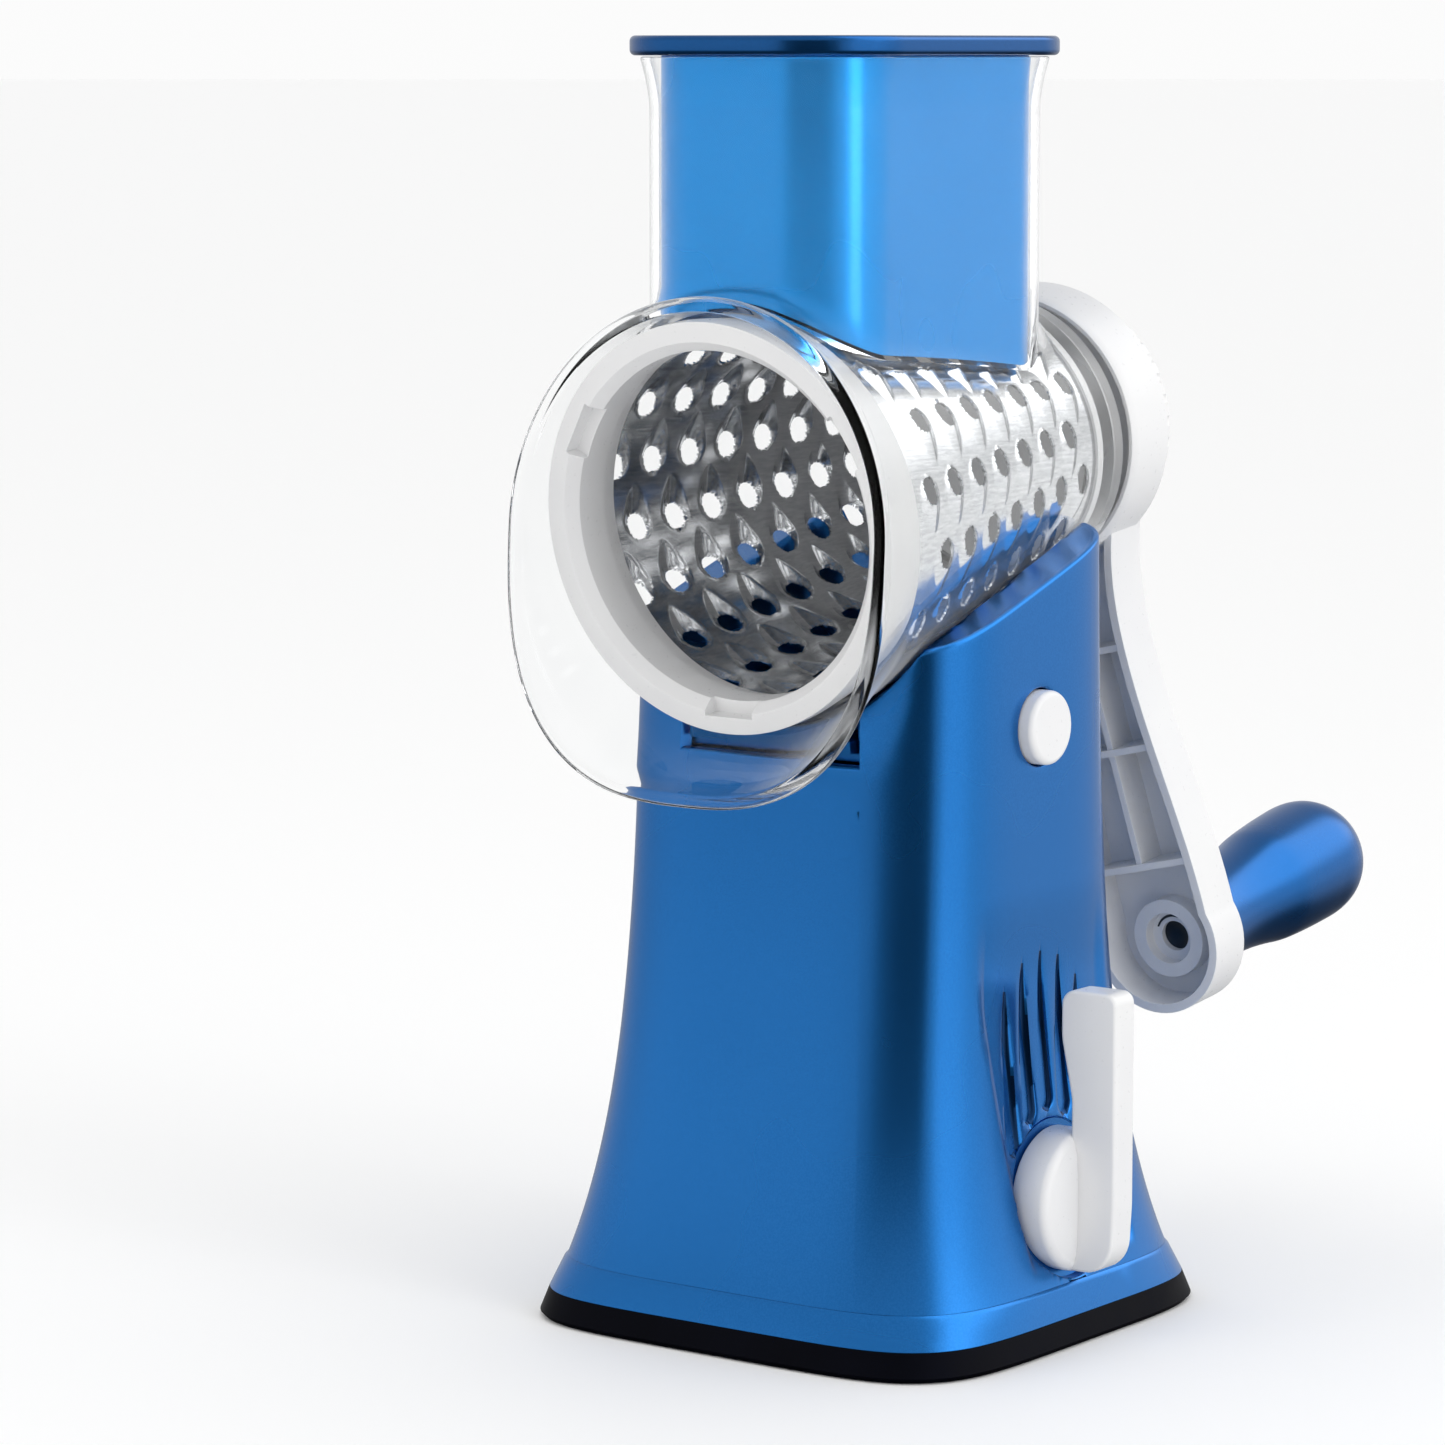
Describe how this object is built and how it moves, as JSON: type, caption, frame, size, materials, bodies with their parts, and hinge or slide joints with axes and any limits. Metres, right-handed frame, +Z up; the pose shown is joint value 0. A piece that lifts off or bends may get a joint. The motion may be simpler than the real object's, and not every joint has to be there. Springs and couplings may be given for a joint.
{
  "type": "rotary cheese grater",
  "caption": "Hand-cranked drum grater on a suction foot: feed chute with pusher over a steel cone in a clear housing, side release button and suction lever.",
  "frame": {"origin": "middle of the resting face, on the surface the foot stands on", "axes": "+Z up, -Y towards the open mouth, +Y towards the crank, +X towards the release button and the suction lever"},
  "size_m": [0.1435, 0.2572, 0.3195],
  "materials": {
    "blue_plastic": "metallic blue moulded plastic, glossy",
    "white_plastic": "white moulded plastic, satin gloss",
    "clear_plastic": "clear moulded plastic",
    "black_rubber": "smooth black rubber",
    "dark_plastic": "dark grey moulded plastic",
    "steel": "stainless steel"
  },
  "bodies": {
    "stand": {"body_shell": "blue_plastic", "base_band": "blue_plastic", "suction_pad": "black_rubber", "bottom_plate": "dark_plastic", "base_screws": "steel", "dock_rail": "blue_plastic", "lever_bush": "dark_plastic", "button_spring": "steel"},
    "button": {"release_button": "white_plastic", "latch_slide": "dark_plastic"},
    "lever": {"suction_lever": "white_plastic", "lever_axle": "steel", "lever_cam": "dark_plastic", "cam_clips": "steel"},
    "plunger": {"suction_plunger": "dark_plastic"},
    "head": {"housing": "clear_plastic", "feed_chute": "clear_plastic", "rear_bearing": "white_plastic", "mounting_bracket": "blue_plastic", "bracket_screws": "steel"},
    "rotor": {"drum_cone": "steel", "drum_front_ring": "white_plastic", "drum_rear_plate": "white_plastic", "drum_coupling": "white_plastic", "crank_arm": "white_plastic", "crank_cap": "white_plastic", "knob_pin": "steel"},
    "grip": {"knob_grip": "blue_plastic", "knob_cap": "blue_plastic"},
    "pusher": {"pusher_body": "blue_plastic", "pusher_lid": "blue_plastic"}
  },
  "joints": [
    {"name": "head_slide", "type": "slide", "parent": "stand", "child": "head", "axis": [0, -0.9925, -0.1219], "range_m": [0, 0.018]},
    {"name": "crank_turn", "type": "hinge", "parent": "head", "child": "rotor", "pos_m": [0, 0, 0.21], "axis": [0, 0.9925, 0.1219], "continuous": true},
    {"name": "grip_spin", "type": "hinge", "parent": "rotor", "child": "grip", "pos_m": [0.03138, 0.09994, 0.08533], "axis": [0, 0.9848, 0.1736], "continuous": true},
    {"name": "pusher_slide", "type": "slide", "parent": "head", "child": "pusher", "axis": [0, 0, 1], "range_m": [0, 0.075]},
    {"name": "button_press", "type": "slide", "parent": "stand", "child": "button", "axis": [-1, 0, 0], "range_m": [0, 0.003], "stiffness_N_per_m": 900, "springref_m": -0.002, "deforming": ["button_spring"]},
    {"name": "lever_turn", "type": "hinge", "parent": "stand", "child": "lever", "pos_m": [0, 0, 0.035], "axis": [-1, 0, 0], "range_deg": [0, 90]},
    {"name": "plunger_lift", "type": "slide", "parent": "stand", "child": "plunger", "axis": [0, 0, 1], "range_m": [0, 0.003], "stiffness_N_per_m": 5, "springref_m": 0.0203}
  ],
  "couplings": [
    {"joint": "plunger_lift", "follows": "lever_turn", "m_per_rad": 0.0019099}
  ]
}
